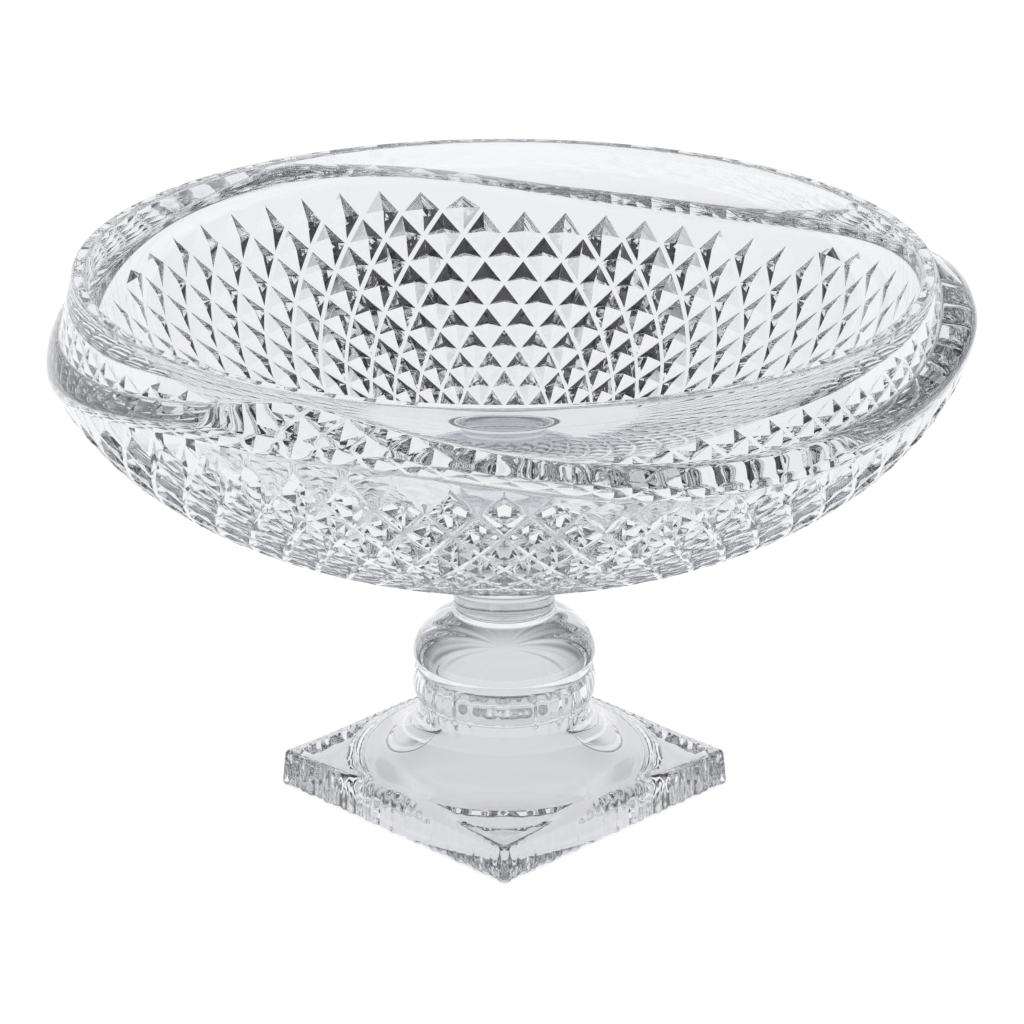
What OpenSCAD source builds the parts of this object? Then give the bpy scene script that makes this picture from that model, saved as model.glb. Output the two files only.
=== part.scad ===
// Footed fruit bowl in clear crystal: a pressed bowl with rows of recessed diamonds and a
// wave ledge below the rim, bonded by a thin clear film to a pressed pedestal on a square foot.
// Millimetres, +Z up, origin on the ground under the middle of the foot.

/* [Bowl body] */
// Height of the rim above the ground
rim_height = 191.4; // [180:0.2:205]
// How far the rim's outer edge stands in from the body's widest radius
rim_setback = 14.7; // [12:0.1:18]
// Width of the flat rim
rim_width = 4.5; // [3:0.1:6]
// Rounding of the rim's two edges
rim_edge = 1; // [0.4:0.1:1.4]
// Radius that the body's ellipse reaches at its widest level
body_radius = 157.2; // [140:0.2:175]
// Depth of the body's ellipse below its widest level
body_depth = 93; // [91:0.2:96]
// Drop from the rim to the ellipse's widest level
widest_drop = 6.4; // [4:0.2:9]
// Depth of the smooth inside below the rim
inside_depth = 86; // [80:0.5:88]

/* [Wave ledge] */
// Waves around the bowl
wave_count = 3; // [2:1:4]
// Azimuth of the first low point, in degrees
wave_low_azimuth = 66; // [0:1:119]
// Share of a wave in which the ledge falls to its low point
ledge_fall = 0.467; // [0.3:0.001:0.5]
// Share of a wave in which the ledge rises again
ledge_rise = 0.433; // [0.3:0.001:0.5]
// Share of a wave in which the crease falls to its low point
crease_fall = 0.52; // [0.45:0.01:0.55]
// Drop from the rim to the ledge's widest line where the ledge is high
ledge_drop = 14.4; // [13:0.2:16]
// How far the ledge's widest line dips at a low point
ledge_dip = 16; // [8:0.5:17]
// Drop from the rim to the crease at its tips
crease_drop = 2.6; // [1.6:0.1:4]
// How far the crease's curve dips at a low point
crease_dip = 20.7; // [13:0.1:21.5]
// Outward slope of the smooth band between rim and crease
band_slope = 0.286; // [0.2:0.002:0.3]

/* [Diamonds] */
// Diamonds around the bowl
diamonds_around = 60; // [48:3:66]
// Rows of diamonds from the ledge to the neck
diamond_rows = 12; // [8:1:12]
// Drop from the rim to the side corners of the top row
top_row_drop = 30.2; // [29:0.2:32]
// Distance from one half row to the next, along the wall
row_pitch = 10.5; // [9:0.1:10.8]
// Depth of a diamond in the top row
diamond_depth = 4.6; // [2:0.1:6]
// Longest upper half of a top diamond, measured upright
tip_rise = 11.6; // [9:0.1:12.5]
// Plain strip left between a top diamond and the ledge's widest line
tip_clearance = 4.2; // [3:0.1:5]
// Plain strip left above the second row where the ledge is low
second_row_clearance = 0.6; // [0.4:0.1:2]
// Shortest upper half for which a top diamond is still pressed
tip_least = 4; // [3:0.1:7]

/* [Neck and bond] */
// Radius of the neck at the bond
neck_radius = 17.4; // [15:0.1:20]
// Height of the pedestal's bonded face above the ground
bond_height = 68; // [67.4:0.1:70]
// Thickness of the bond film
bond_film_thickness = 0.3; // [0.2:0.05:0.5]
// How far the film stays back from the neck's edge
bond_film_inset = 0.4; // [0.2:0.1:1]
// Radius of the bowl's boss where it meets the body
boss_root_radius = 24; // [21:0.5:27]
// Height of the flare at the boss's root
boss_flare = 8; // [5:0.5:10]

/* [Pedestal] */
// Radius of the knop's dome at its lower edge
dome_radius = 31.3; // [29:0.1:33]
// Height of the dome's lower edge above the ground
dome_edge_height = 50.6; // [50:0.1:51.4]
// Height the dome would reach on the axis, above its lower edge
dome_rise = 18.5; // [17:0.1:19]
// Radius of the groove under the dome
groove_radius = 30; // [28:0.1:30.6]
// Height of the groove above the ground
groove_height = 46.6; // [46.2:0.1:47]
// Radius of the bead under the groove
bead_radius = 31.5; // [30.8:0.1:33]
// Height of the bead's widest line above the ground
bead_height = 40.6; // [40:0.1:41.4]
// Radius of the bell's waist under the bead
waist_radius = 29.4; // [27:0.1:30]
// Height of the bell's waist above the ground
waist_height = 34.6; // [33:0.1:36]
// Radius at which the bell's curve runs out, past the middle of the foot's sides
bell_radius = 57; // [56:0.5:60]
// Height of the bell's edge above the foot's top
bell_step = 0.5; // [0.3:0.1:1]

/* [Square foot] */
// Side of the square foot
foot_side = 110.6; // [109:0.2:116]
// Thickness of the square foot
foot_thickness = 13; // [11:0.5:15]
// Rounding of the foot's upright corners
foot_corner_radius = 2.5; // [1.5:0.1:4]
// Chamfer along the foot's top edges
foot_chamfer = 2; // [1:0.1:2.5]
// Flutes along each side of the foot
flutes_per_side = 10; // [6:1:12]
// Depth of a flute
flute_depth = 0.5; // [0.3:0.1:0.9]
// Distance from the foot's side to its corner panels
panel_inset = 5.4; // [4.6:0.2:8]
// Radius of the arc that bounds the corner panels
panel_radius = 55; // [53:0.5:58]
// Depth of the corner panels
panel_depth = 2.2; // [0.8:0.1:3]

/* [Hollow under the foot] */
// Glass left between the hollow and the middle of the foot's sides
side_wall = 3.3; // [2.5:0.1:6]
// Glass left between the hollow and the top of the foot
plate_wall = 4.5; // [3:0.1:6]
// Glass left between the hollow's throat and the bell's waist
waist_wall = 5.4; // [4:0.1:9]
// Drop from the bell's waist to the hollow's throat
throat_drop = 7.6; // [5:0.1:10]
// Height that the hollow rises straight up inside the stem from its throat
hollow_rise = 13; // [5:0.5:16]
// Height of the hollow's rounded crown
hollow_crown = 5; // [3:0.5:8]
// Width of the rounded edge round the hollow
hollow_edge = 5; // [3:0.5:8]

/* [Hidden] */
$fn = 144;
crystal = [0.87, 0.89, 0.92, 0.6];
film_clear = [0.95, 0.93, 0.85, 0.6];
curve_steps = 12;
overlap = 3;
foot_azimuth = 45;

// Body outline: an ellipse, given by its angle from the lowest point
widest_height = rim_height - widest_drop;
rim_radius = body_radius - rim_setback;
function body_r(a) = body_radius * sin(a);
function body_z(a) = widest_height - body_depth * cos(a);
function body_angle_at(z) = acos((widest_height - z) / body_depth);
function body_speed(a) = norm([body_radius * cos(a), body_depth * sin(a)]) * PI / 180;
function angle_below(a, arc) = a - arc / body_speed(a - arc / body_speed(a) / 2);

// Waves of the ledge and of its crease: 0 where they are high, 1 at a low point.
// The ledge swings smoothly between flat crests, and the crease runs up to the rim in narrow tips.
wave_span = 360 / wave_count;
function wave_offset(azimuth, fall) =
    let (turn = (azimuth - wave_low_azimuth) / wave_span)
    turn - floor(turn + fall);
function ledge_wave(azimuth) =
    let (t = wave_offset(azimuth, 0.5))
    (1 - cos(180 * max(0, t < 0 ? 1 + t / ledge_fall : 1 - t / ledge_rise))) / 2;
function crease_wave(azimuth) =
    let (t = wave_offset(azimuth, crease_fall))
    sin(90 * max(0, t < 0 ? 1 + t / crease_fall : pow(1 - t / (1 - crease_fall), 0.85)));
function ledge_z(azimuth) = rim_height - ledge_drop - ledge_dip * ledge_wave(azimuth);
function crease_z(azimuth) = rim_height - norm([crease_drop, crease_dip * crease_wave(azimuth)]);
function band_r(z) = rim_radius + band_slope * (rim_height - rim_edge - z);

// Lattice of diamond corners: row 0 holds the top tips, row 1 the side corners of the top row
half_pitch = 180 / diamonds_around;
top_row_z = rim_height - top_row_drop;
first_corner_angle = body_angle_at(top_row_z);
function row_angle(k) = k <= 1 ? first_corner_angle : angle_below(row_angle(k - 1), row_pitch);
row_angles = [for (k = [0 : diamond_rows + 1]) row_angle(k)];
function tip_limit(azimuth) = min(tip_rise, ledge_z(azimuth) - tip_clearance - top_row_z);
function tip_pressed(azimuth) = tip_limit(azimuth) >= tip_least;
function second_row_z(azimuth) = min(top_row_z, ledge_z(azimuth) - second_row_clearance);
function tip_z(azimuth) = tip_pressed(azimuth)
    ? top_row_z + tip_limit(azimuth)
    : (second_row_z(azimuth) + ledge_z(azimuth)) / 2;
function corner_azimuth(k, j) = half_pitch * (2 * j + k % 2);
function corner_angle(k, azimuth) =
    k == 0 ? body_angle_at(tip_z(azimuth)) :
    k == 1 ? body_angle_at(second_row_z(azimuth)) :
    row_angles[k];
function on_body(a, azimuth) = [body_r(a) * cos(azimuth), body_r(a) * sin(azimuth), body_z(a)];
function corner(k, j) =
    let (azimuth = corner_azimuth(k, j))
    on_body(corner_angle(k, azimuth), azimuth);

// Deepest point of a diamond, set in along the body's normal, with a depth that follows its width
function pit(k, j) =
    let (
        azimuth = corner_azimuth(k, j) + half_pitch,
        pressed = k > 1 || tip_pressed(azimuth),
        a = pressed ? row_angles[k] : (row_angles[k] + row_angles[k + 1]) / 2,
        depth = pressed ? diamond_depth * sin(a) / sin(first_corner_angle) : 0,
        normal = [body_depth * sin(a), -body_radius * cos(a)],
        inward = -depth * normal / norm(normal),
        r = body_r(a) + inward[0]
    )
    [r * cos(azimuth), r * sin(azimuth), body_z(a) + inward[1]];

// Rings above the diamonds: the ledge's shoulder, its crease, the smooth band and the rim's outer edge
shoulder_turns = [0, 25, 50, 72, 90];
function shoulder_point(azimuth, turn) =
    let (
        z0 = ledge_z(azimuth),
        z1 = crease_z(azimuth),
        r0 = body_r(body_angle_at(z0)),
        r1 = band_r(z1)
    )
    [r1 + (r0 - r1) * pow(cos(turn), 0.8), z0 + (z1 - z0) * sin(turn)];
function upper_rings(azimuth) = [
    each [for (turn = shoulder_turns) shoulder_point(azimuth, turn)],
    let (z = (crease_z(azimuth) + rim_height - rim_edge) / 2) [band_r(z), z],
    [rim_radius, rim_height - rim_edge],
    [rim_radius - rim_edge / 3, rim_height - rim_edge / 3],
    [rim_radius - rim_edge, rim_height]
];
upper_ring_count = len(upper_rings(0));
upper_sides = 2 * diamonds_around;
upper_table = [for (m = [0 : upper_sides - 1]) upper_rings(m * half_pitch)];
function upper_point(i, m) =
    let (p = upper_table[m][i], azimuth = m * half_pitch)
    [p[0] * cos(azimuth), p[0] * sin(azimuth), p[1]];

// Plain underside between the last diamonds and the boss
underside_radius = boss_root_radius + 2;
underside_angle = asin(underside_radius / body_radius);

corner_points = [for (k = [0 : diamond_rows + 1], j = [0 : diamonds_around - 1]) corner(k, j)];
pit_points = [for (k = [1 : diamond_rows], j = [0 : diamonds_around - 1]) pit(k, j)];
upper_points = [for (i = [0 : upper_ring_count - 1], m = [0 : upper_sides - 1]) upper_point(i, m)];
under_points = [for (j = [0 : diamonds_around - 1])
    on_body(underside_angle, corner_azimuth(diamond_rows + 1, j))];
pit_start = len(corner_points);
upper_start = pit_start + len(pit_points);
under_start = upper_start + len(upper_points);

function corner_at(k, j) = k * diamonds_around + j % diamonds_around;
function pit_at(k, j) = pit_start + (k - 1) * diamonds_around + j;
function upper_at(i, m) = upper_start + i * upper_sides + m % upper_sides;
function under_at(j) = under_start + j % diamonds_around;

// Four facets of one diamond
function diamond_faces(k, j) =
    let (
        top = corner_at(k - 1, j + k % 2),
        right = corner_at(k, j + 1),
        bottom = corner_at(k + 1, j + k % 2),
        left = corner_at(k, j),
        deep = pit_at(k, j)
    )
    [[top, right, deep], [right, bottom, deep], [bottom, left, deep], [left, top, deep]];
// Smooth surface between two top tips and the ledge
function strip_faces(j) =
    let (
        tip = corner_at(0, j),
        side = corner_at(1, j),
        next = corner_at(0, j + 1),
        a = upper_at(0, 2 * j),
        b = upper_at(0, 2 * j + 1),
        c = upper_at(0, 2 * j + 2)
    )
    [[tip, a, b], [tip, b, side], [side, b, next], [b, c, next]];
function ring_faces(i, m) =
    let (p = upper_at(i, m), q = upper_at(i, m + 1), s = upper_at(i + 1, m + 1), t = upper_at(i + 1, m))
    [[p, t, s], [p, s, q]];
// Smooth surface between the last diamonds and the underside
function under_faces(j) =
    let (
        k = diamond_rows + 1,
        above = corner_at(k - 1, j + k % 2),
        left = corner_at(k, j),
        right = corner_at(k, j + 1)
    )
    [[left, above, right], [under_at(j), left, right], [under_at(j), right, under_at(j + 1)]];
bowl_faces = [
    each [for (k = [1 : diamond_rows], j = [0 : diamonds_around - 1]) each diamond_faces(k, j)],
    each [for (j = [0 : diamonds_around - 1]) each strip_faces(j)],
    each [for (i = [0 : upper_ring_count - 2], m = [0 : upper_sides - 1]) each ring_faces(i, m)],
    each [for (j = [0 : diamonds_around - 1]) each under_faces(j)],
    [for (m = [upper_sides - 1 : -1 : 0]) upper_at(upper_ring_count - 1, m)],
    [for (j = [0 : diamonds_around - 1]) under_at(j)]
];

// Smooth inside of the bowl, open upwards past the rim
inside_radius = rim_radius - rim_width;
module inside_space() {
    rim_round_z = rim_height - rim_edge;
    rotate_extrude()
    polygon([
        [0, rim_height + overlap],
        each [for (a = [0 : 90 / curve_steps / 2 : 90])
            [inside_radius * sin(a), rim_round_z - (inside_depth - rim_edge) * cos(a)]],
        [inside_radius + rim_edge / 3, rim_height - rim_edge / 3],
        [inside_radius + rim_edge, rim_height],
        [inside_radius + rim_edge, rim_height + overlap]
    ]);
}

// Boss under the bowl, ground flat at the bond and flared into the body
boss_foot = bond_height + bond_film_thickness;
boss_top = body_z(asin(boss_root_radius / body_radius));
module boss() {
    rotate_extrude()
    polygon([
        [0, boss_foot],
        [neck_radius, boss_foot],
        each [for (a = [0 : 90 / curve_steps : 90])
            [
                boss_root_radius - (boss_root_radius - neck_radius) * cos(a),
                boss_top - boss_flare * (1 - sin(a))
            ]],
        [boss_root_radius, boss_top + overlap],
        [0, boss_top + overlap]
    ]);
}

module bowl() {
    color(crystal)
    difference() {
        union() {
            polyhedron(concat(corner_points, pit_points, upper_points, under_points), bowl_faces);
            boss();
        }
        inside_space();
    }
}

module bond_film() {
    color(film_clear)
    translate([0, 0, bond_height])
    cylinder(r = neck_radius - bond_film_inset, h = bond_film_thickness);
}

// Turned part of the pedestal: bell, bead, groove, dome and neck
neck_foot = dome_edge_height + dome_rise * sin(acos(neck_radius / dome_radius));
bell_edge_height = foot_thickness + bell_step;
function bell_point(a) = [
    bell_radius - (bell_radius - waist_radius) * sin(a),
    waist_height - (waist_height - bell_edge_height) * cos(a)
];
function bead_point(a) = [
    waist_radius + (bead_radius - waist_radius) * cos(a),
    bead_height + (a < 0 ? bead_height - waist_height : groove_height - bead_height) * sin(a)
];
function dome_point(a) = [dome_radius * cos(a), dome_edge_height + dome_rise * sin(a)];
dome_end = acos(neck_radius / dome_radius);
module turned_stem() {
    rotate_extrude()
    polygon([
        [0, foot_thickness - overlap],
        [bell_radius, foot_thickness - overlap],
        each [for (a = [0 : 90 / curve_steps : 89]) bell_point(a)],
        each [for (a = [-90 : 180 / curve_steps : 60]) bead_point(a)],
        [groove_radius, groove_height],
        each [for (a = [0 : dome_end / curve_steps : dome_end - 0.01]) dome_point(a)],
        [neck_radius, neck_foot],
        [neck_radius, bond_height],
        [0, bond_height]
    ]);
}

// Square foot with rounded corners, fluted sides, chamfered top edges and sunken corner panels
flute_pitch = (foot_side - 2 * foot_corner_radius) / flutes_per_side;
flute_radius = (pow(flute_pitch / 2, 2) + pow(flute_depth, 2)) / (2 * flute_depth);
module rounded_square(side, radius) {
    reach = side / 2 - radius;
    polygon([for (quarter = [0 : 3], a = [0 : 15 : 90])
        let (c = [[1, 1], [-1, 1], [-1, -1], [1, -1]][quarter] * reach)
        c + radius * [cos(a + 90 * quarter), sin(a + 90 * quarter)]]);
}
module flutes() {
    for (quarter = [0 : 3], i = [0 : flutes_per_side - 1])
        rotate(90 * quarter)
        translate([
            foot_side / 2 - flute_depth + flute_radius,
            (i + 0.5 - flutes_per_side / 2) * flute_pitch,
            -overlap
        ])
        cylinder(r = flute_radius, h = foot_thickness + bell_step + 2 * overlap);
}
module top_chamfers() {
    for (quarter = [0 : 3])
        rotate(90 * quarter)
        translate([foot_side / 2, foot_side, foot_thickness])
        rotate([90, 0, 0])
        linear_extrude(2 * foot_side)
        polygon([
            [-foot_chamfer - overlap, overlap],
            [overlap, -foot_chamfer - overlap],
            [overlap, overlap]
        ]);
}
module corner_panels() {
    side = foot_side - 2 * panel_inset;
    translate([0, 0, foot_thickness - panel_depth])
    difference() {
        translate([-side / 2, -side / 2, 0])
        cube([side, side, panel_depth + overlap]);
        translate([0, 0, -overlap])
        cylinder(r = panel_radius, h = panel_depth + 3 * overlap);
    }
}

// Hollow that the mould's core leaves under the foot: rounded edge, bell, straight throat and crown
hollow_radius = foot_side / 2 - side_wall;
hollow_ceiling = foot_thickness + bell_step - plate_wall;
hollow_bell_radius = hollow_radius - hollow_edge;
throat_radius = waist_radius - waist_wall;
throat_height = waist_height - throat_drop;
module foot_hollow() {
    rotate_extrude()
    polygon([
        [0, -overlap],
        [hollow_radius, -overlap],
        each [for (a = [0 : 90 / curve_steps : 89])
            [hollow_bell_radius + hollow_edge * cos(a), hollow_ceiling * sin(a)]],
        each [for (a = [0 : 90 / curve_steps : 89])
            [
                hollow_bell_radius - (hollow_bell_radius - throat_radius) * sin(a),
                throat_height - (throat_height - hollow_ceiling) * cos(a)
            ]],
        each [for (a = [0 : 90 / curve_steps : 90])
            [throat_radius * cos(a), throat_height + hollow_rise + hollow_crown * sin(a)]]
    ]);
}

module pedestal() {
    color(crystal)
    difference() {
        union() {
            rotate(foot_azimuth)
            linear_extrude(foot_thickness) rounded_square(foot_side, foot_corner_radius);
            intersection() {
                turned_stem();
                rotate(foot_azimuth)
                linear_extrude(bond_height + overlap) rounded_square(foot_side, foot_corner_radius);
            }
        }
        rotate(foot_azimuth) {
            flutes();
            top_chamfers();
            corner_panels();
        }
        foot_hollow();
    }
}

bowl();
bond_film();
pedestal();
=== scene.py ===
# Footed fruit bowl in clear pressed crystal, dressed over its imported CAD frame.
# Lengths are metres and angles are radians unless a name says otherwise.

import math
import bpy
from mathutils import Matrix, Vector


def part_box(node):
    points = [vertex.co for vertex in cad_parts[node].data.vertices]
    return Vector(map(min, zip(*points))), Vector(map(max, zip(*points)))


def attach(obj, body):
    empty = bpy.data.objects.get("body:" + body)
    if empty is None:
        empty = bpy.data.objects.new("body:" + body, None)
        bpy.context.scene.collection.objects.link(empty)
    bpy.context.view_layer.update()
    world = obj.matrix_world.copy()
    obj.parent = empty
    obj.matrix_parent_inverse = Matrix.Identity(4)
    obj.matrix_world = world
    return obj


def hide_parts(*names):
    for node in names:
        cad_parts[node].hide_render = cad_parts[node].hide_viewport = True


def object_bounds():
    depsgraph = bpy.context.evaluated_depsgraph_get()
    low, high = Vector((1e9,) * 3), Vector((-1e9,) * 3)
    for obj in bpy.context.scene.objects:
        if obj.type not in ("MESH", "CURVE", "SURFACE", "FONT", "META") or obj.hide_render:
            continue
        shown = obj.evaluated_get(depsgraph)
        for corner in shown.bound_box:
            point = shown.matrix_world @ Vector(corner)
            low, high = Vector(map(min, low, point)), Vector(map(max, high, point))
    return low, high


bl_info = {
    "name": "Footed Crystal Fruit Bowl",
    "version": (1, 0, 0),
    "blender": (4, 5, 0),
    "location": "View3D > Sidebar > Fruit Bowl",
    "description": "Builds a footed crystal fruit bowl with pressed diamonds and a wave ledge",
    "category": "Object",
}

import bpy
from bpy.props import (
    FloatProperty,
    FloatVectorProperty,
    IntProperty,
    PointerProperty,
)

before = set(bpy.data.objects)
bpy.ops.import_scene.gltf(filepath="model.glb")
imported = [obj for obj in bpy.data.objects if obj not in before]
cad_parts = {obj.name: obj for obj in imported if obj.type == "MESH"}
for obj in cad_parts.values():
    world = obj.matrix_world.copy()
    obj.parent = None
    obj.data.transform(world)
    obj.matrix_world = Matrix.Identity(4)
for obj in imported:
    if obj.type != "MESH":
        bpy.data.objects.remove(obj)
CAD_BOX = [list(corner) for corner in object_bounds()]
MM = 0.001
BLACK, WHITE = (0.0, 0.0, 0.0, 1.0), (1.0, 1.0, 1.0, 1.0)


def length(name, description, default_mm):
    """A length setting, given in millimetres and kept in metres."""
    return FloatProperty(name=name, description=description, default=default_mm * MM, precision=5, unit="LENGTH")


def share(name, description, default):
    """A setting that is a plain share of something."""
    return FloatProperty(name=name, description=description, default=default, precision=4)


def turn(name, description, degrees):
    """An angle setting, given in degrees and kept in radians."""
    return FloatProperty(name=name, description=description, default=math.radians(degrees), subtype="ANGLE")


def tint(name, description, default):
    """A colour setting."""
    return FloatVectorProperty(
        name=name, description=description, default=default, size=4, min=0.0, max=1.0, subtype="COLOR"
    )


class FRUITBOWL_PG_body(bpy.types.PropertyGroup):
    """Sizes of the bowl's wall and rim"""

    rim_height: FloatProperty(
        name="Rim Height", description="Height of the rim above the table", default=CAD_BOX[1][2], unit="LENGTH"
    )
    rim_setback: length("Rim Setback", "How far the rim stands in from the widest radius", 14.7)
    rim_width: length("Rim Width", "Width of the flat rim", 4.5)
    rim_edge: length("Rim Rounding", "Rounding of the rim's two edges", 1.0)
    radius: length("Body Radius", "Radius of the body's ellipse at its widest level", 157.2)
    depth: length("Body Depth", "Depth of the body's ellipse below its widest level", 93.0)
    widest_drop: length("Widest Drop", "Drop from the rim to the ellipse's widest level", 6.4)
    inside_depth: length("Inside Depth", "Depth of the smooth inside below the rim", 86.0)
    boss_radius: length("Boss Radius", "Radius of the boss under the bowl", 17.4)
    boss_root_radius: length("Boss Root Radius", "Radius at which the boss runs into the body", 24.0)
    boss_flare: length("Boss Flare", "Height of the flare at the boss's root", 8.0)
    boss_edge: length("Boss Edge", "Chamfer round the boss's flat", 0.3)


class FRUITBOWL_PG_ledge(bpy.types.PropertyGroup):
    """Sizes of the wave ledge below the rim"""

    waves: IntProperty(name="Waves", description="Waves around the bowl", default=3, min=1)
    low_azimuth: turn("Low Point", "Azimuth of the first low point", 66.0)
    ledge_fall: share("Ledge Fall", "Share of a wave in which the ledge falls", 0.467)
    ledge_rise: share("Ledge Rise", "Share of a wave in which the ledge rises", 0.433)
    crease_fall: share("Crease Fall", "Share of a wave in which the crease falls", 0.52)
    ledge_drop: length("Ledge Drop", "Drop from the rim to the ledge where it is high", 14.4)
    ledge_dip: length("Ledge Dip", "How far the ledge dips at a low point", 16.0)
    crease_drop: length("Crease Drop", "Drop from the rim to the crease at its tips", 3.4)
    crease_dip: length("Crease Dip", "How far the crease dips at a low point", 20.7)
    band_slope: share("Band Slope", "Outward slope of the smooth band under the rim", 0.24)
    ledge_softness: length("Ledge Softness", "Length over which the ledge's edge is rounded", 2.0)
    crease_softness: length("Crease Softness", "Length over which the crease is rounded", 0.7)


class FRUITBOWL_PG_diamonds(bpy.types.PropertyGroup):
    """Sizes of the pressed diamonds"""

    around: IntProperty(name="Diamonds Around", description="Diamonds in one row", default=60, min=12)
    rows: IntProperty(name="Rows", description="Rows of diamonds from the ledge to the neck", default=12, min=2)
    top_row_drop: length("Top Row Drop", "Drop from the rim to the top row's side corners", 30.2)
    row_pitch: length("Row Pitch", "Distance from one row to the next, along the wall", 10.5)
    depth: length("Depth", "Depth of a diamond in the top row", 4.6)
    tip_rise: length("Tip Rise", "Longest upper half of a top diamond", 11.6)
    tip_clearance: length("Tip Clearance", "Plain strip between a top diamond and the ledge", 4.2)
    second_row_clearance: length("Second Row Clearance", "Plain strip above the second row", 0.6)
    tip_least: length("Least Tip", "Shortest upper half that is still pressed", 4.0)
    strip_width: length("Strip Width", "Width of the strips between the top row's diamonds", 1.9)


class FRUITBOWL_PG_film(bpy.types.PropertyGroup):
    """Sizes of the clear bond between bowl and pedestal"""

    radius: length("Radius", "Radius of the adhesive film", 17.0)
    meniscus: length("Meniscus", "How far the film's edge draws in at its faces", 0.25)
    clearance: length("Clearance", "Gap kept from the glass on either side", 0.02)


class FRUITBOWL_PG_pedestal(bpy.types.PropertyGroup):
    """Sizes of the pedestal's turned stem"""

    neck_radius: length("Neck Radius", "Radius of the neck under the bowl", 17.4)
    dome_radius: length("Dome Radius", "Radius of the dome at its lower edge", 31.3)
    dome_edge_height: length("Dome Edge Height", "Height of the dome's lower edge", 50.6)
    dome_rise: length("Dome Rise", "Height the dome would reach above its edge", 18.5)
    groove_radius: length("Groove Radius", "Radius of the groove under the dome", 30.0)
    groove_height: length("Groove Height", "Height of the groove", 46.6)
    bead_radius: length("Bead Radius", "Radius of the bead under the groove", 31.5)
    bead_height: length("Bead Height", "Height of the bead's widest line", 40.6)
    waist_radius: length("Waist Radius", "Radius of the bell's waist", 29.4)
    waist_height: length("Waist Height", "Height of the bell's waist", 34.6)
    bell_radius: length("Bell Radius", "Radius at which the bell's curve runs out", 57.0)
    bell_step: length("Bell Step", "Height of the bell's edge above the foot", 0.5)
    bell_softness: length("Bell Softness", "How gently the bell's curve runs out into the foot", 5.0)
    step_reach: length("Step Reach", "How far inside the bell's radius its step starts to fade", 6.0)
    step_fade: length("Step Fade", "Length over which the bell's step fades", 14.0)
    bell_start: length("Bell Start", "Radius inside which the top of the foot is all bell", 47.5)
    neck_height: length("Neck Height", "Height of the straight neck", 0.8)
    neck_softness: length("Neck Softness", "Rounding of the neck's top edge", 0.35)
    dome_top_softness: length("Dome Top Softness", "Rounding where the dome meets the neck", 0.9)
    dome_edge_softness: length("Dome Edge Softness", "Rounding of the dome's lower edge", 0.35)
    groove_softness: length("Groove Softness", "Rounding of the groove's bottom", 0.5)


class FRUITBOWL_PG_foot(bpy.types.PropertyGroup):
    """Sizes of the square foot"""

    side: length("Side", "Side of the square foot", 110.6)
    thickness: length("Thickness", "Thickness of the square foot", 13.0)
    azimuth: turn("Azimuth", "Turn of the foot about the stem", 45.0)
    corner_radius: length("Corner Radius", "Rounding of the upright corners", 2.5)
    corner_least: length("Least Corner", "Least rounding of an inset corner", 0.6)
    edge_at_corner: length("Edge at Corner", "Rounding of the top edge at the corners", 2.6)
    edge_at_middle: length("Edge at Middle", "Rounding of the top edge at mid side", 5.0)
    lower_edge: length("Lower Edge", "Rounding of the bottom edge", 1.2)
    draft: length("Draft", "How far the sides lean in from bottom to top", 0.9)
    hollow_radius: length("Hollow Radius", "Radius of the hollow under the foot, at the table", 52.0)
    hollow_bell_radius: length("Hollow Bell Radius", "Radius at which the hollow's bell runs out", 47.0)
    hollow_ceiling: length("Hollow Ceiling", "Height of the hollow under the foot's plate", 9.0)
    throat_radius: length("Throat Radius", "Radius of the hollow's throat", 24.0)
    throat_height: length("Throat Height", "Height of the hollow's throat", 27.0)
    hollow_rise: length("Hollow Rise", "Height that the hollow rises straight up from its throat", 13.0)
    hollow_crown: length("Hollow Crown", "Height of the hollow's rounded crown", 5.0)
    flutes: IntProperty(name="Flutes", description="Flutes along each side", default=10, min=1)
    flute_depth: length("Flute Depth", "Depth of a flute at the bottom of the side", 0.8)
    draw_lines: IntProperty(name="Draw Lines", description="Soft draw lines round the hollow", default=20, min=5)
    draw_depth: length("Draw Depth", "Depth of the hollow's draw lines", 0.3)
    streaks: IntProperty(name="Streaks", description="Fine streaks along each side", default=26, min=1)
    streak_depth: length("Streak Depth", "Depth of the fine streaks", 0.6)
    panel_inset: length("Panel Inset", "Distance from the side to the corner panels", 5.4)
    panel_radius: length("Panel Radius", "Radius of the arc that bounds the corner panels", 51.5)
    panel_depth: length("Panel Depth", "Depth of the corner panels", 2.4)
    panel_wall: length("Panel Wall", "Width of the panels' sloping walls", 3.0)
    panel_margin: length("Panel Margin", "Least width that is kept plain at a panel's ends", 1.2)


class FRUITBOWL_PG_crystal(bpy.types.PropertyGroup):
    """Finish of the glass and of the bond"""

    clear: tint("Clear Glass", "Tint of the clearest glass", (0.93, 0.935, 0.95, 1.0))
    smoky: tint("Smoky Glass", "Tint of the slightly greyer flow lines", (0.9, 0.905, 0.925, 1.0))
    refraction: share("Refraction", "Refractive index of the crystal", 1.54)
    ripple: length("Ripple", "Height of the pressed glass's soft ripple", 0.02)
    depth_tint: tint("Depth Tint", "Tint that deep glass takes on", (0.5, 0.51, 0.55, 1.0))
    depth_density: share("Depth Density", "How fast the tint deepens, per metre of glass", 2.0)
    bond: tint("Bond", "Tint of the cured adhesive", (0.98, 0.97, 0.94, 1.0))
    bond_refraction: share("Bond Refraction", "Refractive index of the adhesive", 1.5)
    bond_cloud: share("Bond Cloud", "Roughness of the adhesive's cloudy spots", 0.05)
    wetted_cloud: share("Wetted Cloud", "Strength of the cloudy spots on the wetted faces", 0.06)


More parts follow.
